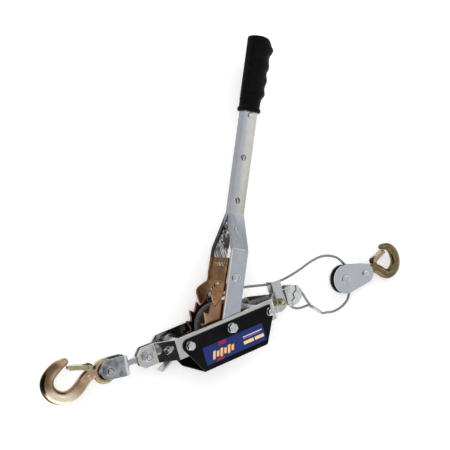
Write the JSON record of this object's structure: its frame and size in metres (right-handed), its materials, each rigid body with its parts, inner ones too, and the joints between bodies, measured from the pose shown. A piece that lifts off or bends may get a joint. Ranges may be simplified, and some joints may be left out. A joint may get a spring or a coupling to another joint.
{
  "type": "come along winch",
  "caption": "Hand ratchet cable puller: a lever with a driving pawl turns a rope drum held in a steel frame, with a swivel hook at one end and a pulley block with a hook at the other.",
  "frame": {"origin": "on the drum's axis, at the flat end of the drum axle, where the puller stands on the floor while it lies on its side", "axes": "+X runs along the puller from the swivel hook to the pulley block, +Y towards the handle's side, +Z along the drum axle, up from the floor"},
  "size_m": [0.6458, 0.4512, 0.0927],
  "materials": {
    "zinc": "bright zinc plate, satin",
    "bright_zinc": "bright zinc plate, polished",
    "yellow_zinc": "yellow passivated zinc plate",
    "stamped_zinc": "brown-gold passivated zinc plate",
    "black_paint": "glossy black paint",
    "rope": "galvanised strands",
    "core": "dark oiled steel",
    "rubber": "matte",
    "aluminium": "pressed",
    "black_sheave": "dark, semi-matte"
  },
  "bodies": {
    "frame": {"side_plate_near": "zinc", "side_plate_far": "zinc", "guard": "black_paint", "front_cross_bolt": "bright_zinc", "front_cross_nut": "bright_zinc", "drum_axle": "bright_zinc", "drum_axle_nut": "bright_zinc", "rear_cross_bolt": "bright_zinc", "rear_cross_nut": "bright_zinc", "front_spacer": "bright_zinc", "rear_spacer": "bright_zinc", "wing_bolt_near": "bright_zinc", "wing_bolt_far": "bright_zinc", "front_ear_bolt": "bright_zinc", "front_ear_nut": "bright_zinc", "rear_ear_bolt": "bright_zinc", "rear_ear_nut": "yellow_zinc", "rope_guide": "zinc", "rope_anchor": "zinc", "block_cheek_near": "zinc", "block_cheek_far": "zinc", "sheave_axle": "zinc", "block_bolt": "bright_zinc", "block_nut": "bright_zinc", "rope_winding": "rope", "rope": "rope", "rope_eye": "rope", "rope_sleeve": "aluminium"},
    "drum": {"ratchet_wheel_near": "stamped_zinc", "ratchet_wheel_far": "stamped_zinc", "drum_core": "core"},
    "handle": {"handle_lever": "zinc", "handle_grip": "rubber", "drive_pawl_pin": "bright_zinc", "spring_pin": "bright_zinc", "grip_rivet": "bright_zinc", "drive_pawl_spring": "core"},
    "drive_pawl": {"drive_pawl": "stamped_zinc"},
    "holding_pawl": {"holding_pawl": "zinc"},
    "swivel_rod": {"swivel_rod": "zinc", "swivel_nut": "bright_zinc"},
    "clevis": {"hook_clevis": "zinc", "clevis_bolt": "bright_zinc", "clevis_nut": "bright_zinc"},
    "front_hook": {"front_hook": "yellow_zinc", "front_latch_pin": "bright_zinc"},
    "front_latch": {"front_latch": "yellow_zinc"},
    "sheave": {"sheave": "black_sheave"},
    "rear_hook": {"rear_hook": "yellow_zinc", "rear_latch_pin": "bright_zinc"},
    "rear_latch": {"rear_latch": "yellow_zinc"}
  },
  "joints": [
    {"name": "drum_spin", "type": "hinge", "parent": "frame", "child": "drum", "pos_m": [0, 0, 0.0471], "axis": [0, 0, 1], "range_deg": [-22.5, 67.5]},
    {"name": "handle_swing", "type": "hinge", "parent": "frame", "child": "handle", "pos_m": [0, 0, 0.0471], "axis": [0, 0, 1], "range_deg": [-22.5, 67.5]},
    {"name": "drive_pawl_turn", "type": "hinge", "parent": "handle", "child": "drive_pawl", "pos_m": [0.03246, 0.06371, 0.0471], "axis": [0, 0, 1], "range_deg": [-15, 0], "stiffness_Nm_per_rad": 0.05, "springref_deg": 11.46},
    {"name": "holding_pawl_turn", "type": "hinge", "parent": "frame", "child": "holding_pawl", "pos_m": [-0.07, 0, 0.0471], "axis": [0, 0, 1], "range_deg": [-6, 10]},
    {"name": "rod_swing", "type": "hinge", "parent": "frame", "child": "swivel_rod", "pos_m": [-0.1232, 0.0012, 0.0471], "axis": [0, 0, 1], "range_deg": [-20, 20]},
    {"name": "clevis_spin", "type": "hinge", "parent": "swivel_rod", "child": "clevis", "pos_m": [-0.155, 0.0012, 0.0471], "axis": [1, 0, 0], "continuous": true},
    {"name": "front_hook_swing", "type": "hinge", "parent": "clevis", "child": "front_hook", "pos_m": [-0.18451, 0.00535, 0.0471], "axis": [0, 0, 1], "range_deg": [-30, 30]},
    {"name": "front_latch_open", "type": "hinge", "parent": "front_hook", "child": "front_latch", "pos_m": [-0.20625, 0.01768, 0.0471], "axis": [0, 0, 1], "range_deg": [0, 18], "stiffness_Nm_per_rad": 0.02, "springref_deg": -11.46},
    {"name": "sheave_spin", "type": "hinge", "parent": "frame", "child": "sheave", "pos_m": [0.2512, -0.0187, 0.0151], "axis": [0, 0, 1], "continuous": true},
    {"name": "rear_hook_swing", "type": "hinge", "parent": "frame", "child": "rear_hook", "pos_m": [0.2893, -0.0222, 0.0151], "axis": [0, 0, 1], "range_deg": [-30, 30]},
    {"name": "rear_latch_open", "type": "hinge", "parent": "rear_hook", "child": "rear_latch", "pos_m": [0.31488, -0.00965, 0.0151], "axis": [0, 0, 1], "range_deg": [-18, 0], "stiffness_Nm_per_rad": 0.02, "springref_deg": 11.46}
  ],
  "couplings": [
    {"joint": "drum_spin", "follows": "handle_swing", "ratio": 1}
  ]
}
